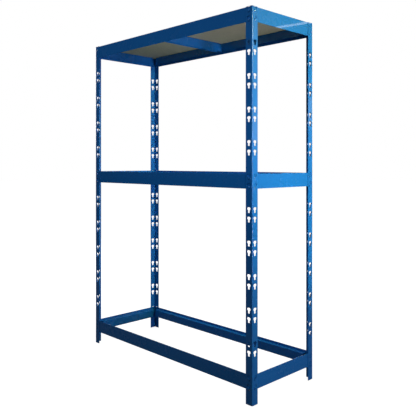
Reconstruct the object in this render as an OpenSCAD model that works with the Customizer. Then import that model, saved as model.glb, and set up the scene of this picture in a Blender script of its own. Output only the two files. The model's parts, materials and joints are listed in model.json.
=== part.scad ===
// Boltless steel tyre storage rack.
// Four punched angle posts, three levels of hook-in beams, a chipboard top
// deck and a centre tie bar under it.  Each beam carries two shouldered rivets
// per end; the rivet heads pass through the wide part of a keyhole pair in the
// post and drop into the narrow slot below.
// Units: mm.  +Z up, X along the long side, Y towards the rear.
// Origin: centre of the footprint, on the floor.

/* [Overall size] */

// Overall width, over the outer faces of the posts
rack_w = 1250; // [900:10:2000]
// Overall depth, over the outer faces of the posts
rack_d = 460; // [350:5:650]
// Overall height of the posts
rack_h = 1780; // [1500:10:2200]

/* [Posts] */

// Leg width of the post angle
post_leg = 38; // [30:1:50]
// Sheet thickness of the posts
post_t = 2; // [1.5:0.1:3]
// Outer bend radius of the post angle
post_r = 4.5; // [2.5:0.5:6]

/* [Keyholes] */

// Distance between keyhole pairs along the post
pair_pitch = 149.5; // [100:0.5:200]
// Number of keyhole pairs per post leg
pair_count = 12; // [6:1:14]
// Distance from the upper to the lower keyhole of one pair
pair_gap = 42.5; // [35:0.5:60]
// Distance from the post top to the upper rivet seat of the first pair
first_seat = 20.5; // [20:0.5:60]
// Distance of the keyhole line from the outer corner of the post
hole_line = 20; // [15:1:25]
// Width of the upper, wide part of the keyhole
key_w = 20.6; // [16:0.1:24]
// Height of the upper, wide part of the keyhole
key_h = 13.6; // [12:0.1:18]
// Width of the lower, narrow slot of the keyhole
slot_w = 10.8; // [8:0.1:14]
// Lift needed to bring a rivet head from its seat to the wide part
unhook_lift = 13.4; // [8:0.1:20]

/* [Beams] */

// Beam height
beam_h = 67; // [50:1:100]
// Sheet thickness of the beams
beam_t = 1.5; // [1.2:0.1:2.5]
// Depth of the board step below the beam top
step_d = 12; // [8:1:25]
// Width of the board step, over the beam profile
ledge_w = 25; // [18:1:40]
// Lower edge of the inner downstand above the lower edge of the beam
leg_low = 11; // [0:0.5:24]
// Free length between the beam ledges and the outer face of the posts
end_notch = 40; // [39:1:60]
// Assembly clearance between a beam web and the post leg
web_gap = 0.3; // [0.3:0.1:1]
// Keyhole pair, counted from the top, that holds the middle level
middle_pair = 5; // [2:1:8]
// Keyhole pair, counted from the top, that holds the bottom level
bottom_pair = 11; // [6:1:13]

/* [Rivets] */

// Rivet head diameter
head_d = 13; // [10:0.1:16]
// Rivet head height
head_h = 2.6; // [1.5:0.1:4]
// Rivet shank diameter
shank_d = 10.2; // [7:0.1:12]
// Diameter of the closed end of the rivet behind the beam web
tail_d = 10; // [8:0.5:16]

/* [Deck and tie bar] */

// Chipboard thickness
board_t = 12; // [9:1:22]
// Board clearance to the upstand of the beams, each side
board_gap = 0.6; // [0.4:0.1:4]
// Width of the centre tie bar
tie_w = 30; // [20:1:60]
// Height of the centre tie bar
tie_h = 46; // [40:1:56]
// Sheet thickness of the tie bar
tie_t = 1.6; // [1:0.1:3]

/* [Hidden] */

$fn = 40;
steel_blue = [0.10, 0.33, 0.62];
rivet_blue = [0.13, 0.37, 0.66];
chipboard = [0.70, 0.66, 0.56];

hw = rack_w / 2;
hd = rack_d / 2;
// rivet centre above the beam's lower edge: lower rivet, then upper rivet
riv_up = beam_h - first_seat + 1;
riv_lo = riv_up - pair_gap;
// z of the upper seat (rivet centre when hooked in) of pair k
function seat(k) = rack_h - first_seat - pair_pitch * k;
// z of the lower edge of a beam hooked into pair k
function beam_z(k) = seat(k) - riv_up;
// outer face of a beam web, measured in from the outer face of the posts
web_in = post_t + web_gap;
// end of a beam, measured in from the outer face of the posts
end_in = web_in + beam_t + web_gap + 0.1;
hem_t = 2 * beam_t;
// outer radius of the bend between board step and downstand
bend_r = 2.5;
// the folded upstand stops this far from the outer face of the posts
hem_notch = 9;
// rivet tenon through the beam web
tenon_d = 6;
// tongues of the tie bar: height above the beam's lower edge, height, length
tongue_z = 24;
tongue_h = 16;
tongue_l = beam_t + 5;
slot_r = slot_w / 2;
// corner radius at the foot of the slot
slot_c = 2.5;

// Keyhole outline, origin at the rivet seat, y up the post.
module keyhole2d() {
  hr = key_h / 2;
  off = (key_w - key_h) / 2;
  union() {
    // wide part
    translate([-off, unhook_lift]) circle(r = hr, $fn = 20);
    translate([off, unhook_lift]) circle(r = hr, $fn = 20);
    translate([-off, unhook_lift - hr]) square([2 * off, key_h]);
    // narrow slot
    translate([-slot_r, slot_c - slot_r]) square([slot_w, unhook_lift + slot_r - slot_c]);
    translate([slot_c - slot_r, -slot_r]) square([slot_w - 2 * slot_c, slot_r]);
    for (m = [-1, 1])
      translate([m * (slot_r - slot_c), slot_c - slot_r]) circle(r = slot_c, $fn = 20);
  }
}

// All keyholes of one leg, cut through it along +Y of this module's own frame.
module keyhole_column() {
  for (k = [0 : pair_count - 1])
    for (g = [0, pair_gap])
      translate([hole_line, post_t + 3, seat(k) - g])
        rotate([90, 0, 0])
          linear_extrude(height = post_t + 6) keyhole2d();
}

// Post angle: outer corner at the origin, legs along +X and +Y.
module post_section() {
  union() {
    translate([post_r, 0]) square([post_leg - post_r, post_t]);
    translate([0, post_r]) square([post_t, post_leg - post_r]);
    intersection() {
      translate([post_r, post_r]) difference() {
        circle(r = post_r, $fn = 24);
        circle(r = post_r - post_t, $fn = 24);
      }
      square([post_r, post_r]);
    }
  }
}

module post() {
  color(steel_blue)
  difference() {
    linear_extrude(height = rack_h) post_section();
    keyhole_column();
    mirror([1, -1, 0]) keyhole_column();
  }
}

module front_left_post() translate([-hw, -hd, 0]) post();
module front_right_post() mirror([1, 0, 0]) translate([-hw, -hd, 0]) post();
module rear_left_post() mirror([0, 1, 0]) translate([-hw, -hd, 0]) post();
module rear_right_post() mirror([1, 0, 0]) mirror([0, 1, 0]) translate([-hw, -hd, 0]) post();

// Beam section: x runs inwards from the outer face of the web, y is up.
// The upstand is the sheet folded back on itself, so its top edge is round.
module hem_section()
  union() {
    translate([0, beam_h - step_d - 0.01]) square([hem_t, step_d - beam_t + 0.01]);
    translate([beam_t, beam_h - beam_t]) circle(r = beam_t, $fn = 24);
  }

module ledge_section() {
  ri = bend_r - beam_t;
  top = beam_h - step_d;
  union() {
    translate([beam_t - 0.01, top - beam_t]) square([ledge_w - bend_r - beam_t + 0.01, beam_t]);
    translate([ledge_w - beam_t, leg_low]) square([beam_t, top - bend_r - leg_low]);
    translate([ledge_w - bend_r, top - bend_r])
      intersection() {
        difference() {
          circle(r = bend_r, $fn = 24);
          circle(r = ri, $fn = 24);
        }
        square([bend_r, bend_r]);
      }
  }
}

// Straight bar along X with the given section, centred on x = 0.
module bar(len)
  translate([-len / 2, 0, 0]) rotate([90, 0, 90]) linear_extrude(height = len) children();

// Beam along X, centred on x = 0, web outer face at y = 0, body towards +Y,
// lower edge at z = 0.  full = length over the outer faces of the posts,
// slots = true cuts the two slots that take the tongues of the tie bar.
module beam(full, slots = false) {
  color(steel_blue)
  difference() {
    union() {
      bar(full - 2 * end_in) square([beam_t, beam_h - beam_t]);
      // folded upstand that frames the board
      bar(full - 2 * hem_notch) hem_section();
      // board step and its downstand, stopped short of the posts
      bar(full - 2 * end_notch) ledge_section();
    }
    for (s = [-1, 1])
      for (z = [riv_lo, riv_up])
        translate([s * (full / 2 - hole_line), beam_t + 3, z])
          rotate([90, 0, 0]) cylinder(d = tenon_d + 0.1, h = beam_t + 6, $fn = 20);
    if (slots)
      for (s = [-1, 1])
        translate([s * (tie_w - tie_t) / 2 - tie_t / 2 - 0.4, ledge_w - beam_t - 3, tongue_z - 0.3])
          cube([tie_t + 0.8, beam_t + 6, tongue_h + 0.9]);
  }
}

// One shouldered rivet: axis along -Y, web outer face at y = 0.  From inside
// to outside: closed tail, tenon in the web hole, shoulder that runs in the
// post slot, domed head outside the post.
module rivet() {
  a = web_in + 0.3;
  rotate([90, 0, 0])
    rotate_extrude($fn = 20)
      polygon([
        [0, -beam_t - 1.8], [tail_d / 2 - 0.6, -beam_t - 1.8], [tail_d / 2, -beam_t - 1.2],
        [tail_d / 2, -beam_t], [tenon_d / 2, -beam_t], [tenon_d / 2, 0],
        [shank_d / 2, 0], [shank_d / 2, a], [head_d / 2, a], [head_d / 2, a + 0.9],
        [head_d / 2 - 1.5, a + head_h - 0.5], [head_d / 2 - 3.6, a + head_h], [0, a + head_h]
      ]);
}

module rivet_set(full) {
  color(rivet_blue)
  for (s = [-1, 1])
    for (z = [riv_lo, riv_up])
      translate([s * (full / 2 - hole_line), 0, z]) rivet();
}

// Placement of a beam or its rivets on one side of the rack, at pair k.
module on_front(k) translate([0, -hd + web_in, beam_z(k)]) children();
module on_rear(k) mirror([0, 1, 0]) translate([0, -hd + web_in, beam_z(k)]) children();
module on_left(k) mirror([1, -1, 0]) translate([0, -hw + web_in, beam_z(k)]) children();
module on_right(k) mirror([1, 0, 0]) mirror([1, -1, 0]) translate([0, -hw + web_in, beam_z(k)]) children();

module top_front_beam() on_front(0) beam(rack_w, true);
module top_rear_beam() on_rear(0) beam(rack_w, true);
module top_left_beam() on_left(0) beam(rack_d);
module top_right_beam() on_right(0) beam(rack_d);
module middle_front_beam() on_front(middle_pair) beam(rack_w);
module middle_rear_beam() on_rear(middle_pair) beam(rack_w);
module middle_left_beam() on_left(middle_pair) beam(rack_d);
module middle_right_beam() on_right(middle_pair) beam(rack_d);
module bottom_front_beam() on_front(bottom_pair) beam(rack_w);
module bottom_rear_beam() on_rear(bottom_pair) beam(rack_w);
module bottom_left_beam() on_left(bottom_pair) beam(rack_d);
module bottom_right_beam() on_right(bottom_pair) beam(rack_d);

module top_front_rivets() on_front(0) rivet_set(rack_w);
module top_rear_rivets() on_rear(0) rivet_set(rack_w);
module top_left_rivets() on_left(0) rivet_set(rack_d);
module top_right_rivets() on_right(0) rivet_set(rack_d);
module middle_front_rivets() on_front(middle_pair) rivet_set(rack_w);
module middle_rear_rivets() on_rear(middle_pair) rivet_set(rack_w);
module middle_left_rivets() on_left(middle_pair) rivet_set(rack_d);
module middle_right_rivets() on_right(middle_pair) rivet_set(rack_d);
module bottom_front_rivets() on_front(bottom_pair) rivet_set(rack_w);
module bottom_rear_rivets() on_rear(bottom_pair) rivet_set(rack_w);
module bottom_left_rivets() on_left(bottom_pair) rivet_set(rack_d);
module bottom_right_rivets() on_right(bottom_pair) rivet_set(rack_d);

// Centre tie bar: channel open at the bottom, hanging between the two long
// beams of the top level right under the board.  Two tongues at each end drop
// into slots in the downstands of the beams.
module tie_section(w, h, r)
  union() {
    translate([-w / 2, 0]) square([w, h - r]);
    translate([-w / 2 + r, h - r - 0.01]) square([w - 2 * r, r + 0.01]);
    for (s = [-1, 1])
      translate([s * (w / 2 - r), h - r]) circle(r = r, $fn = 24);
  }

module tie_bar() {
  // inner faces of the front and rear beams
  in_y = hd - web_in - ledge_w;
  len = 2 * (in_y - 0.4);
  z0 = beam_z(0) + beam_h - step_d - 0.4 - tie_h;
  color(steel_blue)
  translate([0, 0, z0])
    union() {
      difference() {
        translate([0, len / 2, 0]) rotate([90, 0, 0])
          linear_extrude(height = len) tie_section(tie_w, tie_h, bend_r);
        translate([0, len / 2 - tie_t, -1]) rotate([90, 0, 0])
          linear_extrude(height = len - 2 * tie_t)
            tie_section(tie_w - 2 * tie_t, tie_h - tie_t + 1, bend_r - tie_t);
      }
      for (s = [-1, 1])
        translate([s * (tie_w - tie_t) / 2 - tie_t / 2, -len / 2 - tongue_l, beam_z(0) + tongue_z - z0])
          cube([tie_t, len + 2 * tongue_l, tongue_h]);
    }
}

// Chipboard deck, framed by the upstands of the four top beams and lying on
// their board steps.
module deck_panel() {
  inset = web_in + hem_t + board_gap;
  color(chipboard)
  translate([-hw + inset, -hd + inset, beam_z(0) + beam_h - step_d])
    cube([rack_w - 2 * inset, rack_d - 2 * inset, board_t]);
}

front_left_post();
front_right_post();
rear_left_post();
rear_right_post();
top_front_beam();
top_rear_beam();
top_left_beam();
top_right_beam();
middle_front_beam();
middle_rear_beam();
middle_left_beam();
middle_right_beam();
bottom_front_beam();
bottom_rear_beam();
bottom_left_beam();
bottom_right_beam();
top_front_rivets();
top_rear_rivets();
top_left_rivets();
top_right_rivets();
middle_front_rivets();
middle_rear_rivets();
middle_left_rivets();
middle_right_rivets();
bottom_front_rivets();
bottom_rear_rivets();
bottom_left_rivets();
bottom_right_rivets();
tie_bar();
deck_panel();
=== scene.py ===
import bpy
import json
import math
from mathutils import Matrix, Vector

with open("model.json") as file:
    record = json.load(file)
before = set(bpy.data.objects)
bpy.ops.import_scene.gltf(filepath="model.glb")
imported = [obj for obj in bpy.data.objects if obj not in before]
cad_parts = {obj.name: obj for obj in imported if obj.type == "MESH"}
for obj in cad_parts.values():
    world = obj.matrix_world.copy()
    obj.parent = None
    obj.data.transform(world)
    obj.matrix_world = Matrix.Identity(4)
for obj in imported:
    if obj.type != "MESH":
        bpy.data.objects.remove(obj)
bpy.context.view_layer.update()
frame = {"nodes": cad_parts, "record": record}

scene = bpy.context.scene
nodes = frame["nodes"]

# --------------------------------------------------------------------------
# node helpers
# --------------------------------------------------------------------------


class Mat:
    """Small wrapper that keeps node code short."""

    def __init__(self, name):
        self.m = bpy.data.materials.new(name)
        self.m.use_nodes = True
        self.t = self.m.node_tree
        self.t.nodes.clear()
        self.out = self.add("ShaderNodeOutputMaterial")
        self.bsdf = self.add("ShaderNodeBsdfPrincipled")
        self.link(self.bsdf.outputs["BSDF"], self.out.inputs["Surface"])

    def add(self, kind, **props):
        n = self.t.nodes.new(kind)
        for k, v in props.items():
            setattr(n, k, v)
        return n

    def link(self, a, b):
        self.t.links.new(a, b)

    def setv(self, node, name, value):
        node.inputs[name].default_value = value

    def coords(self, scale=(1, 1, 1)):
        c = self.add("ShaderNodeTexCoord")
        m = self.add("ShaderNodeMapping")
        m.inputs["Scale"].default_value = scale
        self.link(c.outputs["Object"], m.inputs["Vector"])
        return m.outputs["Vector"]

    def noise(self, vec, scale, detail=2.0, rough=0.5, distortion=0.0):
        n = self.add("ShaderNodeTexNoise")
        n.inputs["Scale"].default_value = scale
        n.inputs["Detail"].default_value = detail
        n.inputs["Roughness"].default_value = rough
        n.inputs["Distortion"].default_value = distortion
        self.link(vec, n.inputs["Vector"])
        return n.outputs["Fac"]

    def voronoi(self, vec, scale, feature="F1", rand=1.0):
        n = self.add("ShaderNodeTexVoronoi", feature=feature)
        n.inputs["Scale"].default_value = scale
        n.inputs["Randomness"].default_value = rand
        self.link(vec, n.inputs["Vector"])
        return n

    def ramp(self, fac, stops, interp="LINEAR"):
        r = self.add("ShaderNodeValToRGB")
        r.color_ramp.interpolation = interp
        e = r.color_ramp.elements
        while len(e) > 1:
            e.remove(e[0])
        e[0].position = stops[0][0]
        e[0].color = stops[0][1]
        for p, c in stops[1:]:
            x = e.new(p)
            x.color = c
        self.link(fac, r.inputs["Fac"])
        return r.outputs["Color"]

    def math(self, op, a, b=None, c=None, clamp=False):
        n = self.add("ShaderNodeMath", operation=op)
        n.use_clamp = clamp
        for i, v in enumerate((a, b, c)):
            if v is None:
                continue
            if isinstance(v, (int, float)):
                n.inputs[i].default_value = v
            else:
                self.link(v, n.inputs[i])
        return n.outputs[0]

    def mix(self, fac, a, b, mode="MIX"):
        n = self.add("ShaderNodeMix", data_type="RGBA", blend_type=mode)
        for sock, v in ((n.inputs["Factor"], fac), (n.inputs["A"], a), (n.inputs["B"], b)):
            pass
        f, ia, ib = n.inputs[0], n.inputs[6], n.inputs[7]
        for sock, v in ((f, fac), (ia, a), (ib, b)):
            if isinstance(v, (int, float)):
                sock.default_value = v
            elif isinstance(v, (tuple, list)):
                sock.default_value = v
            else:
                self.link(v, sock)
        return n.outputs[2]

    def maprange(self, v, a, b, c, d):
        n = self.add("ShaderNodeMapRange")
        n.inputs["From Min"].default_value = a
        n.inputs["From Max"].default_value = b
        n.inputs["To Min"].default_value = c
        n.inputs["To Max"].default_value = d
        self.link(v, n.inputs["Value"])
        return n.outputs["Result"]

    def bump(self, height, strength, distance, normal=None):
        n = self.add("ShaderNodeBump")
        n.inputs["Strength"].default_value = strength
        n.inputs["Distance"].default_value = distance
        self.link(height, n.inputs["Height"])
        if normal is not None:
            self.link(normal, n.inputs["Normal"])
        return n.outputs["Normal"]

    def edge_mask(self, radius, lo, hi, breakup=None):
        """1 on outer edges within about radius, broken up by a noise."""
        bev = self.add("ShaderNodeBevel")
        bev.samples = 4
        bev.inputs["Radius"].default_value = radius
        geo = self.add("ShaderNodeNewGeometry")
        dot = self.add("ShaderNodeVectorMath", operation="DOT_PRODUCT")
        self.link(bev.outputs["Normal"], dot.inputs[0])
        self.link(geo.outputs["Normal"], dot.inputs[1])
        m = self.maprange(dot.outputs["Value"], hi, lo, 0.0, 1.0)
        if breakup is not None:
            m = self.math("MULTIPLY", m, breakup, clamp=True)
        return m


def powder_coat(name, base, dark, wear=1.0, rough=0.27, coat=0.35):
    """Glossy powder coat: fine orange peel, faint batch variation, dull
    dust in patches, and small chips to grey steel on the sheet edges."""
    m = Mat(name)
    v = m.coords()
    slow = m.noise(v, 2.2, 3.0, 0.55)
    mid = m.noise(v, 14.0, 4.0, 0.6)
    peel = m.noise(v, 420.0, 2.0, 0.5)
    fine = m.noise(v, 1500.0, 2.0, 0.5)
    # colour: slow variation between two near blues, then a thin dust film
    tone = m.ramp(slow, [(0.32, dark), (0.68, base)])
    dust_f = m.maprange(mid, 0.52, 0.78, 0.0, 0.05)
    col = m.mix(dust_f, tone, (0.16, 0.22, 0.30, 1.0))
    # chips along edges
    chip_n = m.noise(v, 95.0, 4.0, 0.65)
    chip_b = m.maprange(chip_n, 0.60, 0.66, 0.0, wear)
    chips = m.edge_mask(0.0011, 0.80, 0.93, chip_b)
    col = m.mix(chips, col, (0.20, 0.21, 0.23, 1.0))
    m.link(col, m.bsdf.inputs["Base Color"])
    # scuffs: fine lines where tyres and hands rub, roughness only
    sv = m.coords((9.0, 9.0, 160.0))
    scuff = m.noise(sv, 6.0, 3.0, 0.7)
    scuff_f = m.maprange(scuff, 0.62, 0.74, 0.0, 0.10)
    r = m.math("ADD", m.maprange(mid, 0.3, 0.8, rough + 0.005, rough + 0.04), scuff_f)
    r = m.math("ADD", r, m.math("MULTIPLY", chips, 0.2), clamp=True)
    m.link(r, m.bsdf.inputs["Roughness"])
    h = m.math("ADD", m.math("MULTIPLY", peel, 0.8), m.math("MULTIPLY", fine, 0.25))
    h = m.math("SUBTRACT", h, m.math("MULTIPLY", chips, 1.2))
    bev = m.add("ShaderNodeBevel")
    bev.samples = 4
    bev.inputs["Radius"].default_value = 0.0006
    n = m.bump(h, 0.16, 0.0004, bev.outputs["Normal"])
    m.link(n, m.bsdf.inputs["Normal"])
    m.setv(m.bsdf, "IOR", 1.5)
    m.setv(m.bsdf, "Specular IOR Level", 0.35)
    m.setv(m.bsdf, "Coat Weight", coat)
    m.setv(m.bsdf, "Coat Roughness", 0.03)
    m.link(bev.outputs["Normal"], m.bsdf.inputs["Coat Normal"])
    return m.m


def chipboard(name):
    """Raw chipboard: pressed flakes of several tones, fine dust, dark specks."""
    m = Mat(name)
    v = m.coords((1.0, 1.0, 2.2))
    w = m.noise(v, 60.0, 2.0, 0.5)
    big = m.voronoi(v, 120.0)
    small = m.voronoi(v, 420.0)
    slow = m.noise(v, 3.0, 3.0, 0.5)
    fa = m.ramp(big.outputs["Color"], [
        (0.0, (0.22, 0.20, 0.155, 1)), (0.35, (0.33, 0.30, 0.235, 1)),
        (0.7, (0.40, 0.37, 0.30, 1)), (1.0, (0.47, 0.44, 0.36, 1))])
    fb = m.ramp(small.outputs["Color"], [
        (0.0, (0.20, 0.18, 0.14, 1)), (0.5, (0.36, 0.33, 0.26, 1)), (1.0, (0.50, 0.46, 0.38, 1))])
    col = m.mix(m.maprange(w, 0.35, 0.65, 0.25, 0.75), fa, fb)
    col = m.mix(0.5, col, (0.35, 0.325, 0.26, 1.0))
    specks = m.maprange(m.noise(v, 700.0, 2.0, 0.6), 0.66, 0.72, 0.0, 0.5)
    col = m.mix(specks, col, (0.12, 0.09, 0.06, 1.0))
    col = m.mix(m.maprange(slow, 0.35, 0.7, 0.0, 0.18), col, (0.25, 0.24, 0.20, 1.0))
    col = m.mix(1.0, col, (0.96, 1.06, 1.10, 1.0), "MULTIPLY")  # deck tone
    m.link(col, m.bsdf.inputs["Base Color"])
    m.link(m.maprange(w, 0.2, 0.8, 0.74, 0.92), m.bsdf.inputs["Roughness"])
    h = m.math("ADD", big.outputs["Distance"], m.math("MULTIPLY", small.outputs["Distance"], 0.6))
    m.link(m.bump(h, 0.35, 0.0006), m.bsdf.inputs["Normal"])
    m.setv(m.bsdf, "Specular IOR Level", 0.25)
    return m.m


BLUE = (0.011, 0.190, 0.560, 1.0)
BLUE_D = (0.010, 0.172, 0.520, 1.0)
mats = {
    "post_paint": powder_coat("post_powder_coat", BLUE, BLUE_D, 1.0, 0.27),
    "beam_paint": powder_coat("beam_powder_coat", BLUE, BLUE_D, 0.8, 0.25),
    "rivet_paint": powder_coat("rivet_powder_coat", (0.013, 0.195, 0.56, 1), BLUE_D, 1.0, 0.20, 0.6),
    "chipboard": chipboard("raw_chipboard"),
}

slot_of = {s["node"]: s["material_slot"] for s in frame["record"]["subparts"]}
for name, o in nodes.items():
    o.data.materials.clear()
    o.data.materials.append(mats[slot_of[name]])
    for p in o.data.polygons:
        p.use_smooth = True
    try:
        o.data.set_sharp_from_angle(angle=math.radians(28))
    except Exception:
        pass

# --------------------------------------------------------------------------
# stage: pale floor, white surroundings
# --------------------------------------------------------------------------
bpy.ops.mesh.primitive_plane_add(size=60, location=(0, 0, 0))
floor = bpy.context.object
floor.name = "floor"
fm = Mat("pale_floor")
fv = fm.coords()
fl = fm.add("ShaderNodeVectorMath", operation="LENGTH")
fm.link(fv, fl.inputs[0])
glow = fm.maprange(fl.outputs["Value"], 0.8, 4.0, 0.93, 1.0)
ft = fm.noise(fv, 1.3, 3.0, 0.5)
fm.link(fm.ramp(ft, [(0.3, (0.26, 0.26, 0.26, 1)), (0.7, (0.28, 0.28, 0.28, 1))]), fm.bsdf.inputs["Base Color"])
fm.setv(fm.bsdf, "Roughness", 0.9)
fm.setv(fm.bsdf, "Specular IOR Level", 0.0)
fm.setv(fm.bsdf, "Emission Color", (1, 1, 1, 1))
fm.link(glow, fm.bsdf.inputs["Emission Strength"])
# light bounced from the floor is kept low, so the paint keeps its contrast
dull = fm.add("ShaderNodeBsdfDiffuse")
dull.inputs["Color"].default_value = (0.10, 0.10, 0.10, 1)
flp = fm.add("ShaderNodeLightPath")
fmix = fm.add("ShaderNodeMixShader")
fm.link(flp.outputs["Is Camera Ray"], fmix.inputs[0])
fm.link(dull.outputs[0], fmix.inputs[1])
fm.link(fm.bsdf.outputs[0], fmix.inputs[2])
fm.link(fmix.outputs[0], fm.out.inputs["Surface"])
floor.data.materials.append(fm.m)

world = bpy.data.worlds.new("studio")
scene.world = world
world.use_nodes = True
wt = world.node_tree
wt.nodes.clear()
wo = wt.nodes.new("ShaderNodeOutputWorld")
bg_cam = wt.nodes.new("ShaderNodeBackground")
bg_cam.inputs["Color"].default_value = (1, 1, 1, 1)
bg_cam.inputs["Strength"].default_value = 1.0
bg_lit = wt.nodes.new("ShaderNodeBackground")
bg_lit.inputs["Color"].default_value = (0.85, 0.90, 1.0, 1)
bg_lit.inputs["Strength"].default_value = 0.03
lp = wt.nodes.new("ShaderNodeLightPath")
wm = wt.nodes.new("ShaderNodeMixShader")
wt.links.new(lp.outputs["Is Camera Ray"], wm.inputs["Fac"])
wt.links.new(bg_lit.outputs[0], wm.inputs[1])
wt.links.new(bg_cam.outputs[0], wm.inputs[2])
wt.links.new(wm.outputs[0], wo.inputs["Surface"])


def area(name, loc, target, size, power, color=(1, 1, 1), size_y=None):
    d = bpy.data.lights.new(name, "AREA")
    d.energy = power
    d.color = color
    d.shape = "RECTANGLE" if size_y else "SQUARE"
    d.size = size
    if size_y:
        d.size_y = size_y
    o = bpy.data.objects.new(name, d)
    scene.collection.objects.link(o)
    o.location = loc
    o.rotation_euler = (Vector(target) - Vector(loc)).to_track_quat("-Z", "Y").to_euler()
    o.visible_camera = False
    return o


def strip(name, loc, target, along, length, width, power, color):
    """Thin strip lamp whose long side runs along a given direction."""
    d = bpy.data.lights.new(name, "AREA")
    d.energy = power
    d.color = color
    d.shape = "RECTANGLE"
    d.size = length
    d.size_y = width
    o = bpy.data.objects.new(name, d)
    scene.collection.objects.link(o)
    z = (Vector(loc) - Vector(target)).normalized()
    x = (Vector(along) - z * Vector(along).dot(z)).normalized()
    y = z.cross(x)
    o.matrix_world = Matrix(((x.x, y.x, z.x, loc[0]), (x.y, y.y, z.y, loc[1]), (x.z, y.z, z.z, loc[2]), (0, 0, 0, 1)))
    o.visible_camera = False
    return o


def spot(name, loc, target, cone, blend, radius, power, color):
    d = bpy.data.lights.new(name, "SPOT")
    d.spot_size = math.radians(cone)
    d.spot_blend = blend
    d.shadow_soft_size = radius
    d.energy = power
    d.color = color
    o = bpy.data.objects.new(name, d)
    scene.collection.objects.link(o)
    o.location = loc
    o.rotation_euler = (Vector(target) - Vector(loc)).to_track_quat("-Z", "Y").to_euler()
    o.visible_camera = False
    return o


# key from the right and slightly behind: bright end faces, dark corner bends
spot("key_right", (2.15, 0.48, 1.98), (0.6, -0.05, 1.60), 100, 0.95, 0.25, 115.2, (1.00, 1.00, 0.60))
spot("key_middle", (2.9, 0.62, 1.2), (0.62, -0.1, 1.1), 40, 0.95, 0.25, 62.0, (0.94, 0.84, 1.00))
# low light from the right: reaches the tie bar and the far beam under the deck
area("fill_low", (4.2, 0.9, 0.28), (0.0, 0.0, 1.0), 0.5, 38.0, (0.88, 0.66, 1.00))
# two soft spots on the near post at mid height
spot("near_mid", (2.9, -1.3, 1.5), (0.62, -0.23, 1.30), 26, 0.9, 0.25, 82.0, (0.84, 0.80, 1.00))
spot("near_low", (2.9, -1.3, 1.2), (0.62, -0.23, 0.85), 26, 0.9, 0.25, 18.2, (0.34, 0.62, 1.00))
# front fill from high up
area("fill_front", (-0.4, -2.6, 4.6), (0.0, 0.0, 1.0), 1.4, 47.9, (0.73, 0.85, 1.00))
# light coming up from the ground to the underside of the deck
spot("bounce", (0.95, 0.19, 0.10), (0.25, -0.02, 1.77), 44, 0.6, 0.30, 48.0, (1.00, 0.95, 0.72))
spot("bounce_left", (-0.3, 0.0, 0.10), (-0.3, 0.0, 1.77), 44, 0.6, 0.30, 12.0, (0.75, 1.00, 0.80))
# wide dim lamp whose soft reflection lies on the end legs of the posts
strip("post_sheen", (3.07, 3.15, 1.60), (0.625, 0.0, 1.30), (0.0, 1.0, 0.24), 1.3, 0.30, 2.4, (1.0, 0.98, 0.95))
# soft lights for the rear, the left end and the top, out of the main view
area("rim_back", (-0.8, 4.2, 2.4), (0.0, 0.0, 1.0), 2.0, 75, (0.95, 0.97, 1.0))
area("rim_left", (-4.4, 0.6, 2.2), (0.0, 0.0, 1.0), 1.6, 65, (0.95, 0.97, 1.0))
area("top_soft", (0.0, 0.1, 4.6), (0.0, 0.0, 1.7), 1.6, 55, (1.0, 0.98, 0.95))
# strip lamp that leaves the thin glare on the far end of the top right beam
strip("glare", (2.253, 2.27, 2.42), (0.6227, 0.09, 1.755), (0.0, 0.366, 0.10), 0.42, 0.02, 0.22, (1.0, 1.0, 1.0))

# --------------------------------------------------------------------------
# camera
# --------------------------------------------------------------------------
cam_d = bpy.data.cameras.new("camera")
cam = bpy.data.objects.new("camera", cam_d)
scene.collection.objects.link(cam)
cam.location = (2.2534, -2.0969, 1.0779)
cam.rotation_euler = (math.radians(90.0), 0.0, 2.3671 - math.pi / 2)
cam_d.sensor_fit = "HORIZONTAL"
cam_d.sensor_width = 36.0
cam_d.lens = 557.05 / 416.0 * 36.0
cam_d.shift_x = 0.0
cam_d.shift_y = -44.55 / 416.0
cam_d.clip_start = 0.05
cam_d.clip_end = 100.0
scene.camera = cam

scene.view_settings.view_transform = "Standard"
scene.view_settings.look = "None"
scene.view_settings.exposure = 0.0
scene.view_settings.gamma = 1.0
